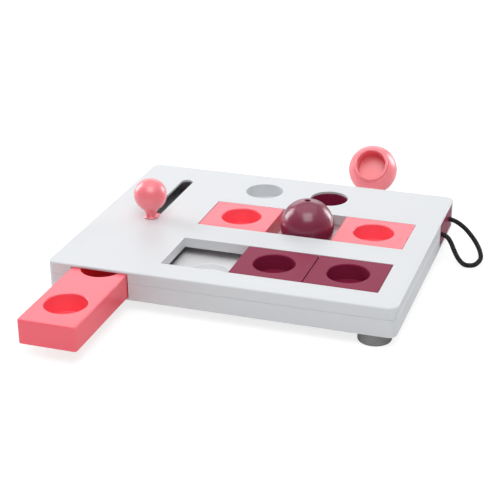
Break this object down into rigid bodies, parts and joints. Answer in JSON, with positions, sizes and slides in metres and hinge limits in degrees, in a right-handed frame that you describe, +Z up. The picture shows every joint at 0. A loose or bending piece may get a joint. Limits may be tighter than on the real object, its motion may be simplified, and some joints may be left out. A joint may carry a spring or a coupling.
{
  "type": "pet puzzle feeder board",
  "caption": "Flat white puzzle feeder board with bowl tiles sliding in rows, a lever drawer, a cord-pulled drawer and round ball lids that cover treat hollows.",
  "frame": {"origin": "middle of the board on the floor that its feet stand on", "axes": "+X to the right side with the loop drawer, +Y to the back, +Z up"},
  "size_m": [0.2821, 0.367, 0.0603],
  "materials": {
    "shell_white": "fine satin moulded plastic",
    "foot_rubber": "smooth grey rubber",
    "screw_steel": "zinc plated",
    "pink_plastic": "satin gloss moulded plastic",
    "maroon_plastic": "satin gloss moulded plastic",
    "black_cord": "braided elastic cord"
  },
  "bodies": {
    "case": {"top_shell": "shell_white", "bottom_tray": "shell_white", "front_track": "shell_white", "middle_track": "shell_white", "foot_front_left": "foot_rubber", "foot_front_right": "foot_rubber", "foot_rear_left": "foot_rubber", "foot_rear_right": "foot_rubber", "case_screws": "screw_steel"},
    "lever_drawer": {"lever_drawer": "pink_plastic", "lever": "pink_plastic", "lever_screw": "screw_steel"},
    "loop_drawer": {"loop_drawer": "maroon_plastic", "pull_cord": "black_cord", "cord_knots": "black_cord"},
    "middle_tile_left": {"middle_tile_left": "pink_plastic"},
    "middle_tile_right": {"middle_tile_right": "pink_plastic"},
    "front_tile_left": {"front_tile_left": "maroon_plastic"},
    "front_tile_right": {"front_tile_right": "maroon_plastic"},
    "row_ball": {"row_ball": "maroon_plastic"},
    "loose_ball": {"loose_ball": "pink_plastic"}
  },
  "joints": [
    {"name": "lever_drawer_slide", "type": "slide", "parent": "case", "child": "lever_drawer", "axis": [0, 1, 0], "range_m": [0, 0.074]},
    {"name": "loop_drawer_slide", "type": "slide", "parent": "case", "child": "loop_drawer", "axis": [1, 0, 0], "range_m": [0, 0.06]},
    {"name": "front_tile_right_slide", "type": "slide", "parent": "case", "child": "front_tile_right", "axis": [-1, 0, 0], "range_m": [0, 0.049]},
    {"name": "front_tile_left_slide", "type": "slide", "parent": "case", "child": "front_tile_left", "axis": [-1, 0, 0], "range_m": [0, 0.049]},
    {"name": "middle_tile_left_slide", "type": "slide", "parent": "case", "child": "middle_tile_left", "axis": [1, 0, 0], "range_m": [0, 0.005]},
    {"name": "middle_tile_right_slide", "type": "slide", "parent": "case", "child": "middle_tile_right", "axis": [-1, 0, 0], "range_m": [0, 0.0035]},
    {"name": "row_ball_lift", "type": "slide", "parent": "case", "child": "row_ball", "axis": [0, 0, 1], "range_m": [0, 0.06]},
    {"name": "loose_ball_lift", "type": "slide", "parent": "case", "child": "loose_ball", "axis": [0, 0, 1], "range_m": [0, 0.06]}
  ],
  "couplings": [
    {"joint": "front_tile_left_slide", "follows": "front_tile_right_slide", "ratio": 1}
  ]
}
